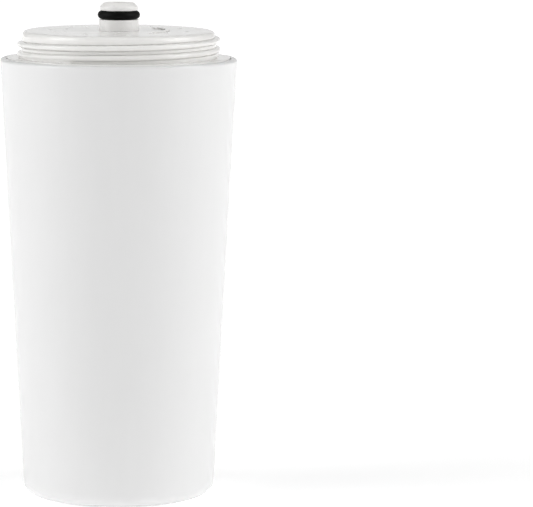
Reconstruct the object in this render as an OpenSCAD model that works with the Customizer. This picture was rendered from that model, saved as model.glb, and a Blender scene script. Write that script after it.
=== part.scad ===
// Screw-in water filter cartridge.
// A tapered cup is closed by a welded lid that carries the head thread and the outlet holes.
// Water enters at the centre spigot, runs down a tube to the floor of the cup, and rises through
// a felt, a copper-zinc bed, a separator and a carbon bed to the holes in the lid.
// Millimetres. +Z is up along the axis, and the origin is the centre of the base.

/* [Canister] */
// Height of the cup, from its base to its rim
cup_h = 185.6; // [170:0.2:200]
// Outer diameter of the cup at the rim, before its edge is rounded
rim_d = 100; // [98:0.5:106]
// Outer diameter of the cup at the base, before its edge is rounded
base_d = 81; // [78:0.5:88]
// Thickness of the cup's wall
wall = 3.2; // [2.6:0.1:3.6]
// Thickness of the cup's floor
floor_t = 3; // [2:0.1:3.5]
// Radius of the round edge at the base
base_round = 8; // [6:0.5:10]
// Radius of the round edge at the rim
rim_round = 1.9; // [1:0.1:2.2]
// Depth of the shallow hollow under the base
base_hollow = 0.8; // [0.4:0.1:1.2]

/* [Lid] */
// Outer diameter of the lid's flange, where it meets the rim of the cup
flange_d = 94.4; // [93:0.1:94.6]
// Outer diameter of the threaded collar, between its threads
collar_d = 81.2; // [79:0.1:83]
// Height of the collar's deck above the rim of the cup
collar_h = 11.6; // [11:0.1:14]
// Radius of the round edge of the deck
deck_round = 1.9; // [1:0.1:2.4]
// Thickness of the deck and of the collar's wall
deck_t = 3; // [2.4:0.1:3.4]
// Diameter of an outlet hole
outlet_d = 2.2; // [1.6:0.1:2.6]

/* [Thread] */
// Outer diameter over the thread
thread_d = 85.6; // [83.6:0.1:87]
// Rise of the thread in one turn
pitch = 4; // [3.6:0.1:4.4]
// Width of the thread's ridge at its root
ridge_w = 2.3; // [2.2:0.1:3.2]
// Height of the ridge's crest above the rim of the cup, at the front of the first full turn
crest_h = 2.8; // [2.4:0.1:3]

/* [Spigot] */
// Outer diameter of the spigot below its groove
spigot_d = 16.8; // [16:0.1:17]
// Outer diameter of the spigot's tip above its groove
tip_d = 16.1; // [15.4:0.1:16.6]
// Height of the spigot's tip above the deck
spigot_h = 11.8; // [11:0.1:13]
// Diameter of the water way through the spigot
bore_d = 8; // [7.8:0.1:8.4]
// Diameter of the water way through the down tube
tube_bore_d = 7.6; // [6.6:0.1:7.6]
// Inner diameter of the spigot's O-ring
ring_id = 10.8; // [10.6:0.1:11.2]
// Thickness of the spigot's O-ring
ring_t = 3.53; // [3.3:0.01:3.6]

/* [Media] */
// Depth of the copper-zinc bed
metal_bed_h = 20; // [12:1:30]
// Free height above the copper-zinc bed, in which the rising water lifts it
headspace = 6; // [4:0.5:10]
// Thickness of a felt pad
felt_t = 5; // [4:0.5:6]
// Thickness of a perforated plate
plate_t = 2.5; // [2:0.1:3]
// Diameter of a hole in a perforated plate
plate_hole_d = 3; // [2:0.1:3.4]

/* [Hidden] */

gap = 0.1;                // running room between pieces that only rest in each other
fit = 0.05;               // room on the radius between a plug and its socket
arc_steps = 8;            // straight steps in a quarter turn of a rounded edge
screen_t = 0.4;           // thickness of a screen's cloth

// Canister
taper = (rim_d - base_d) / 2 / cup_h;
inner_round = base_round - floor_t;
foot_w = 3;               // width of the flat ring that the cup stands on
foot_r = base_d / 2 - base_round - foot_w;
hollow_slope = 4;         // run of the slope from the foot ring up into the hollow base
rebate_gap = 0.1;         // visible seam between the lid's flange and the rim
seam_r = flange_d / 2 + rebate_gap;
ledge_w = 2;              // width of the ledge that the flange is welded to
ledge_h = 8;
ledge_slope = 4;
rib_h = 7;
rib_t = 2;
rib_count = 6;
rib_in = 11;
gate_d = 5;               // moulding gate mark in the middle of the hollow base
gate_h = 0.4;

// Lid
deck_z = cup_h + collar_h;
flange_top = cup_h + 0.4;
flange_z = cup_h - 3.8;
ledge_foot = flange_z - ledge_h - ledge_slope; // where the cup's wall starts to lean in to the ledge
collar_r = collar_d / 2;
collar_in = collar_r - deck_t;
collar_fillet = 0.5;
skirt_r = seam_r - ledge_w - 2 * gap;
skirt_t = 2.5;
skirt_h = 6;
boss_r = 10.5;
boss_z = flange_z + 0.8;
lid_rib_t = 2;
outlet_outer_r = 29;      // the outlet holes lie in two rings, each with ten places
outlet_inner_r = 23.5;
outlet_turn = 36;
arrow_r = 20.5;           // middle radius of the raised turn arrow
arrow_w = 5;
arrow_shaft_w = 1.8;
arrow_h = 0.5;
arrow_from = -46;
arrow_to = 46;
arrow_head = 15;          // length of the arrow's head in degrees

// Thread
thread_r = thread_d / 2;
crest_z = cup_h + crest_h;
front = 270;              // the front of the collar, in degrees from +X
thread_start = 96;        // the thread rises out of the flange here, counted up to its end
thread_end = 762;
thread_step = 6;
run_out = 18;             // degrees over which the ridge grows at its start and dies at its end
buried = 0.2;             // how far the ridge's ends lie inside the collar, as a share of its height
root_in = 0.6;            // how far the ridge's root is buried in the collar
root_flare = 0.24;        // extra half width of the ridge at that root
crest_w = 0.85;           // half width of the ridge near its crest
fill_end = 244;           // the gap under the first turn is solid up to here
fill_depth = 1;           // how far that solid part reaches down into the flange

// Spigot
bore_r = bore_d / 2;
groove_w = 3.8;
groove_z = deck_z + 4.7;
tip_z = deck_z + spigot_h;
tip_chamfer = 1.7;
shank_r = 6.5;
shank_z = cup_h - 2.5;
socket_z = shank_z + 7;
tube_r = 5;
seal_t = 1.7;             // thickness of the two small O-rings, as squeezed
shank_groove_z = socket_z + 1.2;
shank_groove_w = 2.4;
shank_groove_r = shank_r - seal_t;
ring_r = ring_id / 2 + ring_t / 2;
ring_z = groove_z + groove_w / 2;

// Stack of plates and media, from the floor up
lower_plate_z = floor_t + rib_h;
lower_screen_z = lower_plate_z + plate_t;
lower_felt_z = lower_screen_z + screen_t;
hub_r = 8;
hub_top = lower_felt_z + felt_t;
foot_groove_z = lower_felt_z + 1;
foot_groove_w = 2.4;
metal_z = hub_top;
separator_screen_z = metal_z + metal_bed_h + headspace;
separator_plate_z = separator_screen_z + screen_t;
separator_felt_z = separator_plate_z + plate_t;
carbon_z = separator_felt_z + felt_t;
upper_plate_z = flange_z - 1.2 - plate_t;
upper_screen_z = upper_plate_z - screen_t;
upper_felt_z = upper_screen_z - felt_t;
upper_r = skirt_r - skirt_t - gap;
tube_z = floor_t + 5;
tube_top = socket_z - gap;

// Outer radius of the cup at a height above its base.
function cup_r(z) = base_d / 2 + taper * z;

// Radius inside the cup's wall at a height above its base.
function bore_at(z) = cup_r(z) - wall;

// Points on an arc in the r, z plane.
function arc(c, r, from, to) =
    [for (i = [0 : arc_steps]) let (a = from + (to - from) * i / arc_steps)
        [c[0] + r * cos(a), c[1] + r * sin(a)]];

// A flat ring whose outer edge runs from r_low at its foot to r_high at its top.
module ring_disc(inner_r, r_low, r_high, z, h) {
    translate([0, 0, z])
        rotate_extrude($fn = 96)
            polygon([[inner_r, 0], [r_low, 0], [r_high, h], [inner_r, h]]);
}

// Rings of holes through a plate, about one hole_gap apart along each ring.
module perforations(first_r, last_r, hole_gap, z, h) {
    for (r = [first_r : hole_gap : last_r])
        for (i = [0 : floor(2 * PI * r / hole_gap) - 1])
            rotate(i * 360 / floor(2 * PI * r / hole_gap))
                translate([r, 0, z])
                    cylinder(h = h, d = plate_hole_d, $fn = 24);
}

// One closed solid through rings of points that all have the same number of points.
module sweep(rings) {
    n = len(rings[0]);
    last = len(rings) - 1;
    sides = [
        for (i = [0 : last - 1], j = [0 : n - 1])
            [i * n + j, i * n + (j + 1) % n, (i + 1) * n + (j + 1) % n, (i + 1) * n + j]
    ];
    first_cap = [[for (j = [n - 1 : -1 : 0]) j]];
    last_cap = [[for (j = [0 : n - 1]) last * n + j]];
    polyhedron(
        points = [for (ring = rings) each ring],
        faces = concat(first_cap, sides, last_cap),
        convexity = 8
    );
}

// A point given as radius and height, turned to an angle about the axis.
function turned(p, a) = [p[0] * cos(a), p[0] * sin(a), p[1]];

// Height of the ridge's crest, which is crest_z at the front of the first full turn.
function ridge_z(a) = crest_z + pitch * (a - front) / 360;

// Share of the ridge's full height. It is below 0 at both ends, so the ridge grows out of the
// collar at its start and dies back into it at its end.
function ridge_share(a) =
    min(1, (a - thread_start) / run_out - buried, (thread_end - a) / run_out - buried);

// Section of the thread's ridge at an angle, as points around it. It is solid down into the
// flange as far as fill_end.
function ridge_ring(a) =
    let (
        z = ridge_z(a),
        root = collar_r - root_in,
        tip = collar_r + (thread_r - collar_r) * ridge_share(a),
        shoulder = collar_r + (tip - collar_r) * 0.8,
        half_w = ridge_w / 2 + root_flare,
        filled = a < fill_end
    )
    [for (p = [
        [root, filled ? flange_top - fill_depth : z - half_w],
        filled
            ? [shoulder, flange_top - fill_depth]
            : [(root + shoulder) / 2, z - (half_w + crest_w) / 2],
        [shoulder, z - crest_w], [tip, z - crest_w / 3], [tip, z + crest_w / 3],
        [shoulder, z + crest_w], [root, z + half_w]
    ]) turned(p, a)];

module canister() {
    color("white")
        union() {
            difference() {
                rotate_extrude($fn = 128)
                    polygon(concat(
                        [[0, base_hollow], [foot_r - hollow_slope, base_hollow], [foot_r, 0]],
                        arc([cup_r(0) - base_round, base_round], base_round, -90, 0),
                        arc([cup_r(cup_h) - rim_round, cup_h - rim_round], rim_round, 0, 90),
                        [
                            [seam_r, cup_h], [seam_r, flange_z], [seam_r - ledge_w, flange_z],
                            [seam_r - ledge_w, flange_z - ledge_h],
                            [bore_at(ledge_foot), ledge_foot]
                        ],
                        arc(
                            [bore_at(floor_t) - inner_round, floor_t + inner_round],
                            inner_round, 0, -90
                        ),
                        [[0, floor_t]]
                    ));
                translate([0, 0, base_hollow])
                    cylinder(h = gate_h, d = gate_d, center = true, $fn = 32);
            }
            for (i = [0 : rib_count - 1])
                rotate(i * 360 / rib_count)
                    translate([rib_in, -rib_t / 2, floor_t - 0.5])
                        cube([bore_at(floor_t) - inner_round - rib_in, rib_t, rib_h + 0.5]);
        }
}

// Raised arrow that shows which way the cartridge turns into its head.
module turn_arrow() {
    tail = arrow_to - arrow_head;
    half = arrow_w / 2;
    shaft = arrow_shaft_w / 2;
    shaft_steps = 10;
    shaft_arc = [for (i = [0 : shaft_steps]) arrow_from + (tail - arrow_from) * i / shaft_steps];
    outline = concat(
        [for (a = shaft_arc) (arrow_r + shaft) * [cos(a), sin(a)]],
        [(arrow_r + half) * [cos(tail), sin(tail)]],
        [arrow_r * [cos(arrow_to), sin(arrow_to)]],
        [(arrow_r - half) * [cos(tail), sin(tail)]],
        [for (i = [shaft_steps : -1 : 0])
            (arrow_r - shaft) * [cos(shaft_arc[i]), sin(shaft_arc[i])]]
    );
    translate([0, 0, deck_z - 0.2])
        linear_extrude(arrow_h + 0.2)
            polygon(outline);
}

module outlet_hole(r, a) {
    rotate(a)
        translate([r, 0, deck_z - deck_t - 1])
            cylinder(h = deck_t + 2, d = outlet_d, $fn = 24);
}

// Two rings of outlet holes. The inner ring leaves out the two places beside the arrow.
module outlet_holes() {
    for (i = [0 : 9])
        outlet_hole(outlet_outer_r, 26 + i * outlet_turn);
    for (i = [1 : 8])
        outlet_hole(outlet_inner_r, 16 + i * outlet_turn);
}

module lid() {
    color("white")
        difference() {
            union() {
                rotate_extrude($fn = 128)
                    polygon(concat(
                        [[shank_r + fit, deck_z]],
                        arc([collar_r - deck_round, deck_z - deck_round], deck_round, 90, 0),
                        arc(
                            [collar_r + collar_fillet, flange_top + collar_fillet],
                            collar_fillet, 180, 270
                        ),
                        [
                            [flange_d / 2, flange_top], [flange_d / 2, flange_z],
                            [skirt_r, flange_z], [skirt_r, flange_z - skirt_h],
                            [skirt_r - skirt_t, flange_z - skirt_h], [skirt_r - skirt_t, flange_z],
                            [collar_in, flange_z], [collar_in, deck_z - deck_t],
                            [boss_r, deck_z - deck_t], [boss_r, boss_z], [shank_r + fit, boss_z]
                        ]
                    ));
                sweep([for (a = [thread_start : thread_step : thread_end]) ridge_ring(a)]);
                for (i = [0 : rib_count - 1])
                    rotate((i + 0.5) * 360 / rib_count)
                        translate([boss_r - 0.5, -lid_rib_t / 2, upper_plate_z + plate_t])
                            cube([
                                collar_in - boss_r + 1, lid_rib_t,
                                deck_z - deck_t + 0.5 - upper_plate_z - plate_t
                            ]);
                turn_arrow();
            }
            outlet_holes();
        }
}

module inlet_spigot() {
    color("whitesmoke")
        rotate_extrude($fn = 96)
            polygon([
                [bore_r, tip_z], [tip_d / 2 - tip_chamfer, tip_z], [tip_d / 2, tip_z - tip_chamfer],
                [tip_d / 2, groove_z + groove_w], [ring_id / 2, groove_z + groove_w],
                [ring_id / 2, groove_z], [spigot_d / 2, groove_z], [spigot_d / 2, deck_z],
                [shank_r, deck_z], [shank_r, shank_groove_z + shank_groove_w],
                [shank_groove_r, shank_groove_z + shank_groove_w], [shank_groove_r, shank_groove_z],
                [shank_r, shank_groove_z], [shank_r, shank_z], [tube_r + fit, shank_z],
                [tube_r + fit, socket_z], [bore_r, socket_z]
            ]);
}

// A round-section seal ring.
module seal_ring(middle_r, thickness, z) {
    color([0.03, 0.03, 0.03])
        translate([0, 0, z])
            rotate_extrude($fn = 96)
                translate([middle_r, 0])
                    circle(d = thickness, $fn = 32);
}

module spigot_o_ring() {
    seal_ring(ring_r + 0.02, ring_t, ring_z);
}

module shank_seal() {
    seal_ring(shank_groove_r + seal_t / 2 + fit / 2, seal_t - fit, shank_groove_z + shank_groove_w / 2);
}

module foot_seal() {
    seal_ring(tube_r + seal_t / 2 + fit / 2, seal_t - fit, foot_groove_z + foot_groove_w / 2);
}

module down_tube() {
    color("gainsboro")
        difference() {
            translate([0, 0, tube_z])
                cylinder(h = tube_top - tube_z, r = tube_r, $fn = 64);
            translate([0, 0, tube_z - 1])
                cylinder(h = tube_top - tube_z + 2, d = tube_bore_d, $fn = 64);
        }
}

module lower_plate() {
    plate_r = bore_at(lower_plate_z) - gap;
    color("gainsboro")
        difference() {
            union() {
                ring_disc(tube_r + fit, plate_r, plate_r + taper * plate_t, lower_plate_z, plate_t);
                translate([0, 0, lower_plate_z])
                    rotate_extrude($fn = 96)
                        polygon([
                            [tube_r + fit, 0], [hub_r, 0], [hub_r, hub_top - lower_plate_z],
                            [tube_r + fit, hub_top - lower_plate_z]
                        ]);
            }
            perforations(hub_r + 5, plate_r - 3, 2 * plate_hole_d, lower_plate_z - 1, plate_t + 2);
            ring_disc(
                tube_r - 1, tube_r + seal_t + fit, tube_r + seal_t + fit,
                foot_groove_z, foot_groove_w
            );
        }
}

// A disc of woven cloth that covers one plate.
module screen(inner_r, z) {
    screen_r = min(bore_at(z) - gap, z > carbon_z ? upper_r : rim_d);
    color("silver")
        ring_disc(inner_r, screen_r, screen_r, z, screen_t);
}

module lower_screen() {
    screen(hub_r + gap, lower_screen_z);
}

module separator_screen() {
    screen(tube_r + gap, separator_screen_z);
}

module upper_screen() {
    screen(tube_r + gap, upper_screen_z);
}

// A pad of felt that fills the cup from the tube to the wall.
module felt(inner_r, outer_r, z) {
    color("ivory")
        ring_disc(inner_r, outer_r, outer_r, z, felt_t);
}

module lower_felt() {
    felt(hub_r + gap, bore_at(lower_felt_z) - gap, lower_felt_z);
}

module separator_felt() {
    felt(tube_r + gap, bore_at(separator_felt_z) - gap, separator_felt_z);
}

module upper_felt() {
    felt(tube_r + gap, upper_r, upper_felt_z);
}

// A bed of loose granules between the tube and the tapered wall.
module bed(z, h) {
    ring_disc(tube_r + gap, bore_at(z) - gap, bore_at(z + h) - gap, z, h);
}

module copper_zinc_bed() {
    color("goldenrod")
        bed(metal_z, metal_bed_h);
}

module carbon_bed() {
    top_r = seam_r - ledge_w - gap;
    color([0.08, 0.08, 0.08])
        rotate_extrude($fn = 96)
            polygon([
                [tube_r + gap, carbon_z], [bore_at(carbon_z) - gap, carbon_z],
                [bore_at(ledge_foot) - gap, ledge_foot - gap],
                [top_r - gap, flange_z - ledge_h - gap], [top_r - gap, upper_felt_z],
                [tube_r + gap, upper_felt_z]
            ]);
}

// The plate between the two beds, held by the tapered wall.
module separator_plate() {
    plate_r = bore_at(separator_plate_z) - gap / 2;
    color("gainsboro")
        difference() {
            ring_disc(tube_r + fit, plate_r, plate_r + taper * plate_t, separator_plate_z, plate_t);
            perforations(hub_r + 5, plate_r - 3, 2 * plate_hole_d, separator_plate_z - 1, plate_t + 2);
        }
}

// The plate under the lid, which the lid's ribs hold down on the media.
module upper_plate() {
    color("gainsboro")
        difference() {
            ring_disc(tube_r + gap, upper_r, upper_r, upper_plate_z, plate_t);
            perforations(hub_r + 5, upper_r - 3, 2 * plate_hole_d, upper_plate_z - 1, plate_t + 2);
        }
}

canister();
lid();
inlet_spigot();
spigot_o_ring();
shank_seal();
down_tube();
foot_seal();
lower_plate();
lower_screen();
lower_felt();
copper_zinc_bed();
separator_screen();
separator_plate();
separator_felt();
carbon_bed();
upper_felt();
upper_screen();
upper_plate();
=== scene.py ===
import math

import bmesh
import bpy
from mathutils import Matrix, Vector, noise


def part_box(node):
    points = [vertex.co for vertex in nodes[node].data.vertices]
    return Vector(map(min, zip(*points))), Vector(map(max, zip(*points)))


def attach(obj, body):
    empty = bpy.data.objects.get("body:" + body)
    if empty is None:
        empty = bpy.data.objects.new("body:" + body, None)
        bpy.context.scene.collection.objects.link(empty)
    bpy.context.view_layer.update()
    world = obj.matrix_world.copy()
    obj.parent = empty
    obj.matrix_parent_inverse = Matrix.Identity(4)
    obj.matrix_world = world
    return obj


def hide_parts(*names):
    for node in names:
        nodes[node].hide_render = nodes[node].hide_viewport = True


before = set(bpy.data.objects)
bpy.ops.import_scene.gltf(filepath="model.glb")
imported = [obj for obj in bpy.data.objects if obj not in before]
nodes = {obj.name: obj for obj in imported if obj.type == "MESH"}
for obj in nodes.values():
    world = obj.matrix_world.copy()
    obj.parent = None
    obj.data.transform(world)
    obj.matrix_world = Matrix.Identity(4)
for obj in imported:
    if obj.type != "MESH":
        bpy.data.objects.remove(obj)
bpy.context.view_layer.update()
mm = 0.001

# ---- Canister -------------------------------------------------------------------------------
# The cup is one injection moulding in white polypropylene, drafted so that it leaves its core.
# It stands on a narrow ring round a shallow hollow, and the lid is welded into its rebated rim.

cup_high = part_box("canister")[1]
lid_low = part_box("lid")[0]
rim_r, rim_z = cup_high.x, cup_high.z
base_r = 40.5 * mm
wall = 3.2 * mm
floor_t = 3 * mm
base_round = 8 * mm
rim_round = 1.9 * mm
foot_r = 29.5 * mm
hollow_h = 0.8 * mm
hollow_slope = 4 * mm
gate_r = 2.5 * mm
gate_h = 0.2 * mm
flange_z = lid_low.z + 6 * mm
seam_r = 47.3 * mm
ledge_r = seam_r - 2 * mm
ledge_z = flange_z - 8 * mm
wall_lean_z = ledge_z - 4 * mm
stiffener_h = 7 * mm
stiffener_t = 2 * mm
stiffener_in = 11 * mm
round_steps = 7
row_h = 5 * mm
steps_round = 384


def cup_r(z):
    """Outer radius of the drafted wall at a height."""
    return base_r + (rim_r - base_r) * z / rim_z


def moulded_outline(corners, closed=False):
    """Points of a section, from corners given as radius, height and rounding. Flats get rows."""
    points = []
    count = len(corners)
    for i, (r, z, rounding) in enumerate(corners):
        here = Vector((r, z))
        if not closed and i in (0, count - 1) or rounding == 0:
            points.append(here)
            continue
        before = Vector(corners[i - 1][:2]) - here
        after = Vector(corners[(i + 1) % count][:2]) - here
        to_before, to_after = before.normalized(), after.normalized()
        half = to_before.angle(to_after) / 2
        reach = min(rounding / math.tan(half), before.length * 0.48, after.length * 0.48)
        radius = reach * math.tan(half)
        centre = here + (to_before + to_after).normalized() * (radius / math.sin(half))
        start = here + to_before * reach - centre
        end = here + to_after * reach - centre
        sweep = start.angle_signed(end)
        for k in range(round_steps + 1):
            turned = -sweep * k / round_steps
            cos_t, sin_t = math.cos(turned), math.sin(turned)
            points.append(
                centre
                + Vector((start.x * cos_t - start.y * sin_t, start.x * sin_t + start.y * cos_t))
            )
    rows = []
    for i, here in enumerate(points):
        rows.append(here)
        if i == len(points) - 1 and not closed:
            break
        gap = points[(i + 1) % len(points)] - here
        near = 0.35 * mm
        if gap.length > 6 * near:
            cuts = max(1, round(gap.length / row_h))
            shares = [near / gap.length]
            shares += [k / cuts for k in range(1, cuts)]
            shares.append(1 - near / gap.length)
            rows += [here + gap * share for share in shares]
    return [(p.x, p.y) for p in rows]


def turned_mesh(outline_at, closed, around=steps_round):
    """A mesh turned about the axis. outline_at gives the section's points at an angle."""
    mesh = bmesh.new()
    rings = []
    on_axis = {}
    for j in range(around):
        angle = 2 * math.pi * j / around
        ring = []
        for i, (r, z) in enumerate(outline_at(angle)):
            if r < 1e-7:
                if i not in on_axis:
                    on_axis[i] = mesh.verts.new((0, 0, z))
                ring.append(on_axis[i])
            else:
                ring.append(mesh.verts.new((r * math.cos(angle), r * math.sin(angle), z)))
        rings.append(ring)
    count = len(rings[0])
    for j in range(around):
        ring, beside = rings[j], rings[(j + 1) % around]
        for i in range(count if closed else count - 1):
            k = (i + 1) % count
            corners = [ring[i], beside[i], beside[k], ring[k]]
            face = [v for n, v in enumerate(corners) if v not in corners[:n]]
            if len(face) > 2:
                mesh.faces.new(face)
    bmesh.ops.recalc_face_normals(mesh, faces=mesh.faces)
    return mesh


def finished_piece(name, mesh, sharp_angle=38):
    """A smooth-shaded object from a mesh, with its true corners kept sharp."""
    data = bpy.data.meshes.new(name)
    mesh.to_mesh(data)
    mesh.free()
    piece = bpy.data.objects.new(name, data)
    bpy.context.scene.collection.objects.link(piece)
    shade(piece, sharp_angle)
    return piece


def shade(piece, sharp_angle=38):
    """Smooth shading, apart from edges that turn more than the angle."""
    mesh = bmesh.new()
    mesh.from_mesh(piece.data)
    for face in mesh.faces:
        face.smooth = True
    for edge in mesh.edges:
        edge.smooth = len(edge.link_faces) == 2 and edge.calc_face_angle(0) < math.radians(
            sharp_angle
        )
    mesh.to_mesh(piece.data)
    mesh.free()


def box_mesh(low, high):
    """A box-shaped tool, ready to be joined to a moulding."""
    mesh = bmesh.new()
    bmesh.ops.create_cube(mesh, size=1)
    for vert in mesh.verts:
        vert.co = Vector(
            [low[k] + (high[k] - low[k]) * (vert.co[k] + 0.5) for k in range(3)]
        )
    return mesh


def joined(piece, tools, operation, sharp_angle=38):
    """The piece with each tool's mesh added to it or cut from it, as one clean solid."""
    for tool in tools:
        modifier = piece.modifiers.new("join", "BOOLEAN")
        modifier.operation = operation
        modifier.solver = "EXACT"
        modifier.object = tool
    dependencies = bpy.context.evaluated_depsgraph_get()
    solid = bpy.data.meshes.new_from_object(piece.evaluated_get(dependencies))
    piece.modifiers.clear()
    piece.data = solid
    for tool in tools:
        bpy.data.objects.remove(tool)
    shade(piece, sharp_angle)
    return piece


def tool_from(mesh):
    """A mesh as an object that a moulding can be joined to or cut by."""
    data = bpy.data.meshes.new("tool")
    mesh.to_mesh(data)
    mesh.free()
    tool = bpy.data.objects.new("tool", data)
    bpy.context.scene.collection.objects.link(tool)
    return tool


cup_section = moulded_outline(
    [
        (0, hollow_h + gate_h, 0),
        (gate_r, hollow_h + gate_h, 0.08 * mm),
        (gate_r, hollow_h, 0.08 * mm),
        (foot_r - hollow_slope, hollow_h, 1.5 * mm),
        (foot_r, 0, 0.6 * mm),
        (cup_r(0), 0, base_round),
        (cup_r(rim_z), rim_z, rim_round),
        (seam_r, rim_z, 0.4 * mm),
        (seam_r, flange_z, 0.1 * mm),
        (ledge_r, flange_z, 0.3 * mm),
        (ledge_r, ledge_z, 1 * mm),
        (cup_r(wall_lean_z) - wall, wall_lean_z, 1 * mm),
        (cup_r(floor_t) - wall, floor_t, base_round - floor_t),
        (0, floor_t, 0),
    ]
)
canister = finished_piece("canister_shell", turned_mesh(lambda angle: cup_section, False))
stiffeners = []
for i in range(6):
    stiffener = tool_from(
        box_mesh(
            (stiffener_in, -stiffener_t / 2, floor_t - 0.5 * mm),
            (cup_r(floor_t) - wall - base_round + floor_t, stiffener_t / 2, floor_t + stiffener_h),
        )
    )
    stiffener.rotation_euler.z = i * math.pi / 3
    stiffeners.append(stiffener)
bpy.context.view_layer.update()
joined(canister, stiffeners, "UNION")


def linear(hex_colour):
    """An sRGB hex colour as the linear values that shaders use."""
    values = [int(hex_colour[k : k + 2], 16) / 255 for k in (1, 3, 5)]
    return [*[v / 12.92 if v <= 0.04045 else ((v + 0.055) / 1.055) ** 2.4 for v in values], 1]


def add_node(tree, kind, inputs=(), **settings):
    """A node with its settings. Each input is given as a value, or as the socket it links to."""
    node = tree.nodes.new("ShaderNode" + kind)
    for name, value in settings.items():
        setattr(node, name, value)
    for name, value in dict(inputs).items():
        if isinstance(value, bpy.types.NodeSocket):
            tree.links.new(value, node.inputs[name])
        else:
            node.inputs[name].default_value = value
    return node


def new_material(name, shader_values):
    """A material with a Principled shader. Returns the material, its node tree and the shader."""
    material = bpy.data.materials.new(name)
    material.use_nodes = True
    tree = material.node_tree
    tree.nodes.clear()
    shader = add_node(tree, "BsdfPrincipled", shader_values)
    add_node(tree, "OutputMaterial", {"Surface": shader.outputs["BSDF"]})
    return material, tree, shader


def moulded_polypropylene(name, light_hex, dark_hex, rough_low, rough_high):
    """Injection-moulded polypropylene. The eye sees a waxy white gloss, slightly uneven where the
    melt flowed and cooled, with the faint orange peel that a polished mould leaves."""
    # Light travels about a millimetre inside the plastic, which lifts the bottoms of the grooves.
    material, tree, shader = new_material(
        name, {"IOR": 1.49, "Subsurface Weight": 0.5, "Subsurface Scale": 1.2 * mm}
    )
    shader.inputs["Subsurface Radius"].default_value = (1, 1, 1)
    place = add_node(tree, "TexCoord").outputs["Object"]
    # The melt flows up the wall from the gate, so its marks are about 6 mm wide and 40 mm long.
    flow_place = add_node(tree, "Mapping", {"Vector": place, "Scale": (1, 1, 0.15)})
    flow = add_node(
        tree,
        "TexNoise",
        {"Vector": flow_place.outputs["Vector"], "Scale": 1 / (6 * mm), "Detail": 3.0},
    )
    colour = add_node(tree, "ValToRGB", {"Fac": flow.outputs["Fac"]})
    colour.color_ramp.elements[0].position = 0.3
    colour.color_ramp.elements[0].color = linear(dark_hex)
    colour.color_ramp.elements[1].position = 0.7
    colour.color_ramp.elements[1].color = linear(light_hex)
    tree.links.new(colour.outputs["Color"], shader.inputs["Base Color"])
    # Gloss varies in patches about 9 mm across, as the mould cools unevenly.
    patch = add_node(tree, "TexNoise", {"Vector": place, "Scale": 1 / (9 * mm), "Detail": 2.0})
    rough = add_node(
        tree,
        "MapRange",
        {
            "Value": patch.outputs["Fac"],
            "From Min": 0.3,
            "From Max": 0.7,
            "To Min": rough_low,
            "To Max": rough_high,
        },
    )
    tree.links.new(rough.outputs["Result"], shader.inputs["Roughness"])
    # Orange peel of about 0.7 mm, a few micrometres deep.
    peel = add_node(tree, "TexNoise", {"Vector": place, "Scale": 1 / (0.7 * mm), "Detail": 2.0})
    bump = add_node(
        tree,
        "Bump",
        {"Height": peel.outputs["Fac"], "Strength": 0.25, "Distance": 0.004 * mm},
    )
    tree.links.new(bump.outputs["Normal"], shader.inputs["Normal"])
    return material


shell_white = moulded_polypropylene("white_polypropylene_shell", "#E1E1E1", "#E0E0E0", 0.235, 0.265)
canister.data.materials.append(shell_white)
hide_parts("canister")
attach(canister, "root")

# ---- Lid ------------------------------------------------------------------------------------
# The lid is one polypropylene moulding: a welded flange, a collar with a coarse right-hand
# thread, and a deck with outlet holes. A raised arrow shows which way it screws in.

collar_r = 40.6 * mm
deck_z = rim_z + 11.6 * mm
deck_round = 1.9 * mm
flange_r = 46.95 * mm
flange_top = rim_z + 0.4 * mm
skirt_r = 45.1 * mm
skirt_t = 2.5 * mm
skirt_h = 6 * mm
deck_t = 3 * mm
boss_r = 10.5 * mm
boss_z = flange_z + 0.8 * mm
socket_r = 6.55 * mm
thread_h = 2.2 * mm
pitch = 4 * mm
ridge_w = 2.3 * mm
ridge_bulge = 3
foot_fillet = 0.9 * mm
valley_h = 0.6 * mm
relief_h = 0.38 * mm
relief_w = 0.42 * mm
crest_z = rim_z + 2.8 * mm
front = 270
thread_start, thread_end = 96, 762
run_out = 18
fill_end = 244
fill_share = 0.82
fill_fade = 5
blend = 0.08 * mm
thread_row = 0.1 * mm


def eased(t):
    """0 to 1 with soft ends."""
    t = min(1, max(0, t))
    return t * t * (3 - 2 * t)


def collar_height(angle, z):
    """How far the moulding stands out of the plain collar at an angle and height."""
    foot = max(0, foot_fillet - (z - flange_top))
    turns = []
    for turn in (0, 360, 720):
        a = math.degrees(angle) + turn
        if thread_start < a < thread_end:
            share = eased((a - thread_start) / run_out) * eased((thread_end - a) / run_out)
            turns.append((a, share, crest_z + pitch * (a - front) / 360))
    # Each turn leaves the wall below it a little thicker, so the valleys are shallow.
    out = 0
    for a, share, middle in turns:
        out += valley_h * share * eased((middle - z) / (ridge_w / 2))
    out = max(out, foot * foot / foot_fillet)
    for a, share, middle in turns:
        away = abs(z - middle)
        ridge = max(0, 1 - (away / (ridge_w / 2)) ** ridge_bulge) ** (1 / ridge_bulge)
        if z < middle:
            ridge = max(ridge, fill_share * eased((fill_end - a) / fill_fade + 0.5))
        ridge *= thread_h * share
        gap = max(blend - abs(out - ridge), 0) / blend
        out = max(out, ridge) + gap * gap * blend / 4
        # The steel of the mould leaves a fine hollow line along both roots of the ridge.
        line = eased(1 - abs(away - ridge_w / 2 - relief_w / 4) / (relief_w / 2))
        if z > middle or a > fill_end:
            out -= relief_h * line * share
    return out


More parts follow.
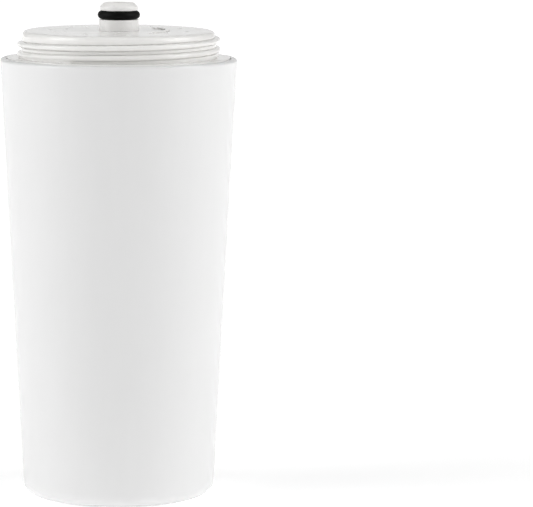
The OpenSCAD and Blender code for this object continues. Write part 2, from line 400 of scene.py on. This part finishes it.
above_collar = moulded_outline(
    [
        (socket_r, deck_z, 0),
        (collar_r, deck_z, deck_round),
        (collar_r, flange_top, 0),
    ]
)[:-1]
while above_collar[-1][1] < deck_z - deck_round - 0.1 * mm:
    above_collar.pop()
below_collar = moulded_outline(
    [
        (collar_r + thread_h, flange_top, 0),
        (flange_r, flange_top, 0.4 * mm),
        (flange_r, flange_z, 0.2 * mm),
        (skirt_r, flange_z, 0),
        (skirt_r, flange_z - skirt_h, 0.3 * mm),
        (skirt_r - skirt_t, flange_z - skirt_h, 0.3 * mm),
        (skirt_r - skirt_t, flange_z, 0.3 * mm),
        (collar_r - deck_t, flange_z, 0.3 * mm),
        (collar_r - deck_t, deck_z - deck_t, 1.5 * mm),
        (boss_r, deck_z - deck_t, 1 * mm),
        (boss_r, boss_z, 0.3 * mm),
        (socket_r, boss_z, 0),
    ]
)[1:]
top_row = above_collar[-1][1]
rows = round((top_row - flange_top) / thread_row)


def lid_section(angle):
    """The lid's section at an angle, with the thread's ridges where they pass."""
    collar = []
    for i in range(1, rows + 1):
        z = top_row + (flange_top - top_row) * i / rows
        collar.append((collar_r + collar_height(angle, z), z))
    return above_collar + collar + below_collar


lid = finished_piece("lid_moulding", turned_mesh(lid_section, True, 480))

outlet_r = 1.1 * mm
outlet_rings = [(29 * mm, 26, 10), (23.5 * mm, 52, 8)]
outlet_turn = 36


def round_bar(radius, low, high, around=40):
    """A round tool standing along Z."""
    mesh = bmesh.new()
    bmesh.ops.create_cone(
        mesh, cap_ends=True, segments=around, radius1=radius, radius2=radius, depth=high - low
    )
    bmesh.ops.translate(mesh, verts=mesh.verts, vec=(0, 0, (low + high) / 2))
    return mesh


drills = bmesh.new()
for ring_r, first, count in outlet_rings:
    for i in range(count):
        turn = math.radians(first + i * outlet_turn)
        drill = round_bar(outlet_r, deck_z - 2 * deck_t, deck_z + deck_t)
        bmesh.ops.translate(
            drill, verts=drill.verts, vec=(ring_r * math.cos(turn), ring_r * math.sin(turn), 0)
        )
        loose = bpy.data.meshes.new("drill")
        drill.to_mesh(loose)
        drill.free()
        drills.from_mesh(loose)
        bpy.data.meshes.remove(loose)
joined(lid, [tool_from(drills)], "DIFFERENCE")

arrow_r = 20.5 * mm
arrow_half = 2.5 * mm
arrow_shaft = 0.9 * mm
arrow_h = 0.5 * mm
arrow_sink = 0.3 * mm
arrow_from, arrow_neck, arrow_tip = -46, 31, 46
arrow = bmesh.new()
shaft_angles = [arrow_from + (arrow_neck - arrow_from) * k / 16 for k in range(17)]
arrow_edge = [(arrow_r + arrow_shaft, a) for a in shaft_angles]
arrow_edge += [(arrow_r + arrow_half, arrow_neck), (arrow_r, arrow_tip)]
arrow_edge += [(arrow_r - arrow_half, arrow_neck)]
arrow_edge += [(arrow_r - arrow_shaft, a) for a in reversed(shaft_angles)]
outline = [
    arrow.verts.new(
        (r * math.cos(math.radians(a)), r * math.sin(math.radians(a)), deck_z - arrow_sink)
    )
    for r, a in arrow_edge
]
underside = arrow.faces.new(outline)
grown = bmesh.ops.extrude_face_region(arrow, geom=[underside])
top_verts = [v for v in grown["geom"] if isinstance(v, bmesh.types.BMVert)]
bmesh.ops.translate(arrow, verts=top_verts, vec=(0, 0, arrow_sink + arrow_h))
bmesh.ops.recalc_face_normals(arrow, faces=arrow.faces)
joined(lid, [tool_from(arrow)], "UNION")

lid_white = moulded_polypropylene("white_polypropylene_lid", "#ECEBE9", "#EAE9E7", 0.14, 0.17)
lid.data.materials.append(lid_white)
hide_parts("lid")
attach(lid, "root")

# ---- Inlet spigot ---------------------------------------------------------------------------
# The spigot is moulded in white polypropylene, pushed into the lid's boss and welded. A square
# groove near its tip holds the O-ring.

spigot_low, spigot_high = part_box("inlet_spigot")
tip_z = spigot_high.z
post_r = spigot_high.x
tip_r = 8.05 * mm
tip_slope = 1.7 * mm
way_r = 4 * mm
groove_low = deck_z + 4.7 * mm
groove_high = groove_low + 3.8 * mm
groove_r = 5.4 * mm
shank_r = 6.5 * mm
shank_z = spigot_low.z
tube_socket_r = 5.05 * mm
tube_socket_z = shank_z + 7 * mm
seal_groove_low = tube_socket_z + 1.2 * mm
seal_groove_high = seal_groove_low + 2.4 * mm
seal_groove_r = 4.8 * mm
parting_h = 0.05 * mm
parting_turn, parting_half = 2, 1.6
spigot_corners = [
    (way_r, tip_z, 0.35 * mm),
    (tip_r - tip_slope, tip_z, 0.7 * mm),
    (tip_r, tip_z - tip_slope, 0.7 * mm),
    (tip_r, groove_high, 0.2 * mm),
    (groove_r, groove_high, 0.25 * mm),
    (groove_r, groove_low, 0.25 * mm),
    (post_r, groove_low, 0.2 * mm),
    (post_r, deck_z, 0),
    (shank_r, deck_z, 0.2 * mm),
    (shank_r, seal_groove_high, 0.1 * mm),
    (seal_groove_r, seal_groove_high, 0.2 * mm),
    (seal_groove_r, seal_groove_low, 0.2 * mm),
    (shank_r, seal_groove_low, 0.1 * mm),
    (shank_r, shank_z, 0.4 * mm),
    (tube_socket_r, shank_z, 0.4 * mm),
    (tube_socket_r, tube_socket_z, 0),
    (way_r, tube_socket_z, 0.2 * mm),
]
spigot_section = moulded_outline(spigot_corners, closed=True)


def spigot_at(angle):
    """The spigot's section, with the fine parting line of its mould on the front and back."""
    off = abs((math.degrees(angle) + parting_turn) % 180 - 90)
    line = max(0, 1 - off / parting_half)
    return [
        (r - parting_h * (1 - line) if r > groove_r + 1e-5 and z > deck_z else r, z)
        for r, z in spigot_section
    ]


spigot = finished_piece("inlet_spigot_moulding", turned_mesh(spigot_at, True, 240))
spigot_white = moulded_polypropylene("white_polypropylene_spigot", "#EFEEEC", "#EBEAE8", 0.26, 0.3)
spigot.data.materials.append(spigot_white)
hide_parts("inlet_spigot")
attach(spigot, "root")

# ---- Seals ----------------------------------------------------------------------------------
# Three O-rings of black nitrile rubber: the large one in the spigot's groove, one round its
# shank and one at the foot of the tube. Each has the thin flash line of its mould all round.


def nitrile_rubber(name):
    """Compression-moulded nitrile. The eye sees near black with a soft sheen and a dusty grain."""
    material, tree, shader = new_material(name, {"IOR": 1.52, "Specular IOR Level": 0.08})
    place = add_node(tree, "TexCoord").outputs["Object"]
    dust = add_node(tree, "TexNoise", {"Vector": place, "Scale": 1 / (1.2 * mm), "Detail": 4.0})
    colour = add_node(tree, "ValToRGB", {"Fac": dust.outputs["Fac"]})
    colour.color_ramp.elements[0].position = 0.35
    colour.color_ramp.elements[0].color = linear("#060606")
    colour.color_ramp.elements[1].position = 0.8
    colour.color_ramp.elements[1].color = linear("#0E0E0E")
    tree.links.new(colour.outputs["Color"], shader.inputs["Base Color"])
    rough = add_node(
        tree, "MapRange", {"Value": dust.outputs["Fac"], "To Min": 0.42, "To Max": 0.58}
    )
    tree.links.new(rough.outputs["Result"], shader.inputs["Roughness"])
    # Rubber copies the mould's sparked grain of about 0.15 mm.
    grain = add_node(tree, "TexNoise", {"Vector": place, "Scale": 1 / (0.15 * mm), "Detail": 1.0})
    bump = add_node(
        tree,
        "Bump",
        {"Height": grain.outputs["Fac"], "Strength": 0.4, "Distance": 0.01 * mm},
    )
    tree.links.new(bump.outputs["Normal"], shader.inputs["Normal"])
    return material


def moulded_ring(name, node):
    """An O-ring with a flash line, as large as its CAD node."""
    low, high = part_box(node)
    thickness = high.z - low.z
    flash = thickness * 0.012
    radius = thickness / 2 - flash
    middle_r = high.x - thickness / 2
    section = []
    for k in range(72):
        a = 2 * math.pi * k / 72
        lip = max(0, 1 - abs(math.sin(a)) / 0.08) * flash
        section.append(
            (
                middle_r + (radius + lip) * math.cos(a),
                (low.z + high.z) / 2 + (radius + flash) * math.sin(a),
            )
        )
    ring = finished_piece(name, turned_mesh(lambda angle: section, True, 240))
    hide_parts(node)
    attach(ring, "root")
    return ring


nitrile = nitrile_rubber("nitrile_rubber")
for ring_name, ring_node in (
    ("spigot_o_ring_seal", "spigot_o_ring"),
    ("shank_o_ring_seal", "shank_seal"),
    ("foot_o_ring_seal", "foot_seal"),
):
    moulded_ring(ring_name, ring_node).data.materials.append(nitrile)

# ---- Down tube and plates -------------------------------------------------------------------
# The tube is extruded and the three perforated plates are moulded, all in natural, unpigmented
# polypropylene. They keep the shapes of the frame.

natural_pp = moulded_polypropylene("natural_polypropylene", "#D9D9D2", "#CFCFC6", 0.34, 0.46)
for plain_node in ("down_tube", "lower_plate", "separator_plate", "upper_plate"):
    plain = nodes[plain_node]
    plain.data.materials.clear()
    plain.data.materials.append(natural_pp)

# ---- Screens --------------------------------------------------------------------------------
# Each screen is a disc of plain-woven polyester monofilament, heat-welded to its plate.


def woven_monofilament(name):
    """Plain weave of clear monofilament. The eye sees a fine grid that glints thread by thread."""
    material, tree, shader = new_material(name, {"IOR": 1.57, "Roughness": 0.35})
    place = add_node(tree, "TexCoord").outputs["Object"]
    # The real threads are 0.15 mm apart. They are drawn 0.6 mm apart, so that they show.
    spacing = 0.6 * mm
    threads = []
    for direction in ("X", "Y"):
        thread = add_node(
            tree,
            "TexWave",
            {"Vector": place, "Scale": 1 / spacing / 20 * math.pi},
            wave_type="BANDS",
            bands_direction=direction,
        )
        threads.append(thread.outputs["Fac"])
    weave = add_node(tree, "Math", {0: threads[0], 1: threads[1]}, operation="MAXIMUM")
    colour = add_node(tree, "ValToRGB", {"Fac": weave.outputs["Value"]})
    colour.color_ramp.elements[0].color = linear("#8C8B85")
    colour.color_ramp.elements[1].color = linear("#E2E1DB")
    tree.links.new(colour.outputs["Color"], shader.inputs["Base Color"])
    bump = add_node(
        tree,
        "Bump",
        {"Height": weave.outputs["Value"], "Strength": 0.8, "Distance": 0.1 * mm},
    )
    tree.links.new(bump.outputs["Normal"], shader.inputs["Normal"])
    return material


screen_cloth = woven_monofilament("woven_polyester_monofilament")
for screen_node in ("lower_screen", "separator_screen", "upper_screen"):
    screen = nodes[screen_node]
    screen.data.materials.clear()
    screen.data.materials.append(screen_cloth)

# ---- Felt pads ------------------------------------------------------------------------------
# Three discs are punched from needled polypropylene felt. They keep fines out of the beds and
# spread the water. Their faces are a little uneven, and their edges press on the wall.


def needled_felt(name):
    """Needled polypropylene felt. The eye sees matt off-white fibres lying in all directions."""
    material, tree, shader = new_material(name, {"Roughness": 0.95, "Sheen Weight": 0.3})
    place = add_node(tree, "TexCoord").outputs["Object"]
    # Fibres are 0.03 mm thick. They are drawn 0.3 mm thick, so that they show.
    fibre_place = add_node(tree, "Mapping", {"Vector": place, "Scale": (1, 0.25, 1)})
    fibre = add_node(
        tree,
        "TexNoise",
        {
            "Vector": fibre_place.outputs["Vector"],
            "Scale": 1 / (0.3 * mm),
            "Detail": 4.0,
            "Distortion": 1.5,
        },
    )
    colour = add_node(tree, "ValToRGB", {"Fac": fibre.outputs["Fac"]})
    colour.color_ramp.elements[0].position = 0.3
    colour.color_ramp.elements[0].color = linear("#CFCBBE")
    colour.color_ramp.elements[1].position = 0.7
    colour.color_ramp.elements[1].color = linear("#F0EDE3")
    tree.links.new(colour.outputs["Color"], shader.inputs["Base Color"])
    bump = add_node(
        tree,
        "Bump",
        {"Height": fibre.outputs["Fac"], "Strength": 0.9, "Distance": 0.15 * mm},
    )
    tree.links.new(bump.outputs["Normal"], shader.inputs["Normal"])
    return material


felt_white = needled_felt("needled_polypropylene_felt")
felt_lump = 5 * mm
felt_dent = 0.12
felt_holes = {"lower_felt": 8.1 * mm, "separator_felt": 5.1 * mm, "upper_felt": 5.1 * mm}
for felt_node, hole_r in felt_holes.items():
    low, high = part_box(felt_node)
    felt_section = moulded_outline(
        [
            (hole_r, low.z, 0.4 * mm),
            (high.x, low.z, 0.8 * mm),
            (high.x, high.z, 0.8 * mm),
            (hole_r, high.z, 0.4 * mm),
        ],
        closed=True,
    )
    pad = turned_mesh(lambda angle: felt_section, True, 192)
    middle = (low + high) / 2
    for vert in pad.verts:
        dent = noise.noise(vert.co / felt_lump) * 0.5 + 0.5
        vert.co.z += (middle.z - vert.co.z) * felt_dent * dent
    felt = finished_piece(felt_node + "_pad", pad)
    felt.data.materials.append(felt_white)
    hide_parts(felt_node)
    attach(felt, "root")

# ---- Media beds -----------------------------------------------------------------------------
# Loose granules fill the cup between the felts: bright copper-zinc below, and broken coconut
# carbon above it. Each bed is one skin, hollowed between its grains.


def heaped_granules(name, node, section, grain, depth, around):
    """A bed's skin, pressed in between its grains, inside its CAD node."""
    bed = turned_mesh(lambda angle: section, True, around)
    bed.normal_update()
    moves = []
    for vert in bed.verts:
        near = noise.voronoi(vert.co / grain)[0]
        moves.append((vert, vert.normal * (-depth * min(1, near[0] * 1.2))))
    for vert, move in moves:
        vert.co += move
    piece = finished_piece(name, bed, 80)
    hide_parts(node)
    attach(piece, "root")
    return piece


def bed_outline(corners, row):
    """A bed's section with points close enough together to carry its grains."""
    points = []
    for i, (r, z) in enumerate(corners):
        here, after = Vector((r, z)), Vector(corners[(i + 1) % len(corners)])
        cuts = max(1, round((after - here).length / row))
        points += [here.lerp(after, k / cuts) for k in range(cuts)]
    return [(p.x, p.y) for p in points]


def granules(name, dark_hex, light_hex, grain, metallic, rough_low, rough_high):
    """Loose grains. Each cell is one grain with its own shade and gloss."""
    material, tree, shader = new_material(name, {"Metallic": metallic})
    place = add_node(tree, "TexCoord").outputs["Object"]
    cell = add_node(tree, "TexVoronoi", {"Vector": place, "Scale": 1 / grain})
    shade_of_grain = add_node(tree, "SeparateColor", {"Color": cell.outputs["Color"]})
    colour = add_node(tree, "ValToRGB", {"Fac": shade_of_grain.outputs["Red"]})
    colour.color_ramp.elements[0].color = linear(dark_hex)
    colour.color_ramp.elements[1].color = linear(light_hex)
    tree.links.new(colour.outputs["Color"], shader.inputs["Base Color"])
    rough = add_node(
        tree,
        "MapRange",
        {"Value": shade_of_grain.outputs["Green"], "To Min": rough_low, "To Max": rough_high},
    )
    tree.links.new(rough.outputs["Result"], shader.inputs["Roughness"])
    bump = add_node(
        tree,
        "Bump",
        {"Height": cell.outputs["Distance"], "Strength": 0.8, "Distance": 0.2 * mm},
        invert=True,
    )
    tree.links.new(bump.outputs["Normal"], shader.inputs["Normal"])
    return material


bed_hole_r = 5.1 * mm
bed_gap = 0.1 * mm
metal_low, metal_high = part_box("copper_zinc_bed")
metal_section = bed_outline(
    [
        (bed_hole_r, metal_low.z),
        (cup_r(metal_low.z) - wall - bed_gap, metal_low.z),
        (cup_r(metal_high.z) - wall - bed_gap, metal_high.z),
        (bed_hole_r, metal_high.z),
    ],
    0.9 * mm,
)
metal_grain = 1.3 * mm
metal_bed = heaped_granules(
    "copper_zinc_granules", "copper_zinc_bed", metal_section, metal_grain, 0.6 * mm, 270
)
metal_bed.data.materials.append(
    granules("copper_zinc_granules", "#8A5A22", "#D9A24B", metal_grain, 1.0, 0.25, 0.5)
)

carbon_low, carbon_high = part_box("carbon_bed")
carbon_section = bed_outline(
    [
        (bed_hole_r, carbon_low.z),
        (cup_r(carbon_low.z) - wall - bed_gap, carbon_low.z),
        (cup_r(wall_lean_z) - wall - bed_gap, wall_lean_z - bed_gap),
        (ledge_r - 2 * bed_gap, ledge_z - bed_gap),
        (ledge_r - 2 * bed_gap, carbon_high.z),
        (bed_hole_r, carbon_high.z),
    ],
    1.1 * mm,
)
carbon_grain = 1.8 * mm
carbon_bed = heaped_granules(
    "carbon_granules", "carbon_bed", carbon_section, carbon_grain, 0.9 * mm, 250
)
carbon_bed.data.materials.append(
    granules("coconut_carbon_granules", "#0E0E0F", "#2B2B2D", carbon_grain, 0.0, 0.45, 0.8)
)

# ---- Studio ---------------------------------------------------------------------------------
# A plain pale floor curves up far away. The light is soft: a bright tall panel on each side, two
# weak ones in front, one low behind, and a wide one overhead.

floor_r = 30
sweep_steps = 24
floor_z = -0.02 * mm
floor_section = [(0, floor_z), (1, floor_z), (4, floor_z), (12, floor_z)]
floor_section += [
    (floor_r + math.sin(k / sweep_steps), floor_z + 1 - math.cos(k / sweep_steps))
    for k in range(sweep_steps + 1)
]
studio_floor = finished_piece(
    "studio_floor", turned_mesh(lambda angle: floor_section, False, 96), 180
)
floor_paint = new_material(
    "pale_floor",
    {
        "Base Color": linear("#FFFFFF"),
        "Roughness": 0.9,
        "Specular IOR Level": 0.0,
        "Emission Color": linear("#FFFFFF"),
        "Emission Strength": 0.32,
    },
)[0]
studio_floor.data.materials.append(floor_paint)

surround = bpy.data.worlds.new("studio_surround")
bpy.context.scene.world = surround
surround.use_nodes = True
sky = surround.node_tree
sky.nodes.clear()
direction = add_node(sky, "TexCoord").outputs["Generated"]
axes = add_node(sky, "SeparateXYZ", {"Vector": direction}).outputs
sideways = add_node(sky, "Math", {0: axes["X"]}, operation="ABSOLUTE")
forwards = add_node(sky, "Math", {0: axes["Y"], 1: -1.0}, operation="MULTIPLY")
round_angle = add_node(
    sky, "Math", {0: sideways.outputs[0], 1: forwards.outputs[0]}, operation="ARCTAN2"
)
height_angle = add_node(sky, "Math", {0: axes["Z"]}, operation="ARCSINE")


def soft_band(angle, middle, half_width):
    """1 at a middle angle, falling to 0 at half_width away from it. Degrees."""
    away = add_node(sky, "Math", {0: angle, 1: math.radians(middle)}, operation="SUBTRACT")
    away = add_node(sky, "Math", {0: away.outputs[0]}, operation="ABSOLUTE")
    band = add_node(
        sky,
        "MapRange",
        {
            "Value": away.outputs[0],
            "From Min": 0.0,
            "From Max": math.radians(half_width),
            "To Min": 1.0,
            "To Max": 0.0,
        },
        interpolation_type="SMOOTHSTEP",
    )
    return band.outputs["Result"]


room_light = 0.1
# Each panel: middle and half width round the cartridge from the front, the same upwards, strength
panels = [
    (75, 37, 22, 38, 6.3),
    (0, 60, 70, 36, 0.85),
    (0, 50, 5, 30, 0.2),
    (180, 40, 8, 30, 1.0),
    (90, 720, 90, 85, 0.58),
]
light = room_light
for around, around_half, up, up_half, strength in panels:
    across = soft_band(round_angle.outputs[0], around, around_half)
    upward = soft_band(height_angle.outputs[0], up, up_half)
    panel = add_node(sky, "Math", {0: across, 1: upward}, operation="MULTIPLY")
    light = add_node(
        sky, "Math", {0: panel.outputs[0], 1: strength, 2: light}, operation="MULTIPLY_ADD"
    ).outputs[0]
glow = add_node(sky, "Background", {"Strength": light})
add_node(sky, "OutputWorld", {"Surface": glow.outputs["Background"]})
bpy.context.scene.view_settings.view_transform = "Standard"

# ---- Camera ---------------------------------------------------------------------------------
# The camera looks slightly down at the cartridge from 1.5 m, which stands left of the middle.

image_w = 533
focal = 3550
camera_y, camera_z = -1.497, 0.2975
pitch_down = math.radians(7.42)
yaw_right = math.radians(2.36)
roll = math.radians(-0.33)
camera = bpy.data.objects.new("camera", bpy.data.cameras.new("camera"))
bpy.context.scene.collection.objects.link(camera)
camera.data.sensor_width = 36
camera.data.lens = 36 * focal / image_w
camera.location = (0, camera_y, camera_z)
camera.rotation_mode = "XYZ"
camera.rotation_euler = (math.pi / 2 - pitch_down, roll, -yaw_right)
camera.data.clip_start, camera.data.clip_end = 0.05, 60
bpy.context.scene.camera = camera
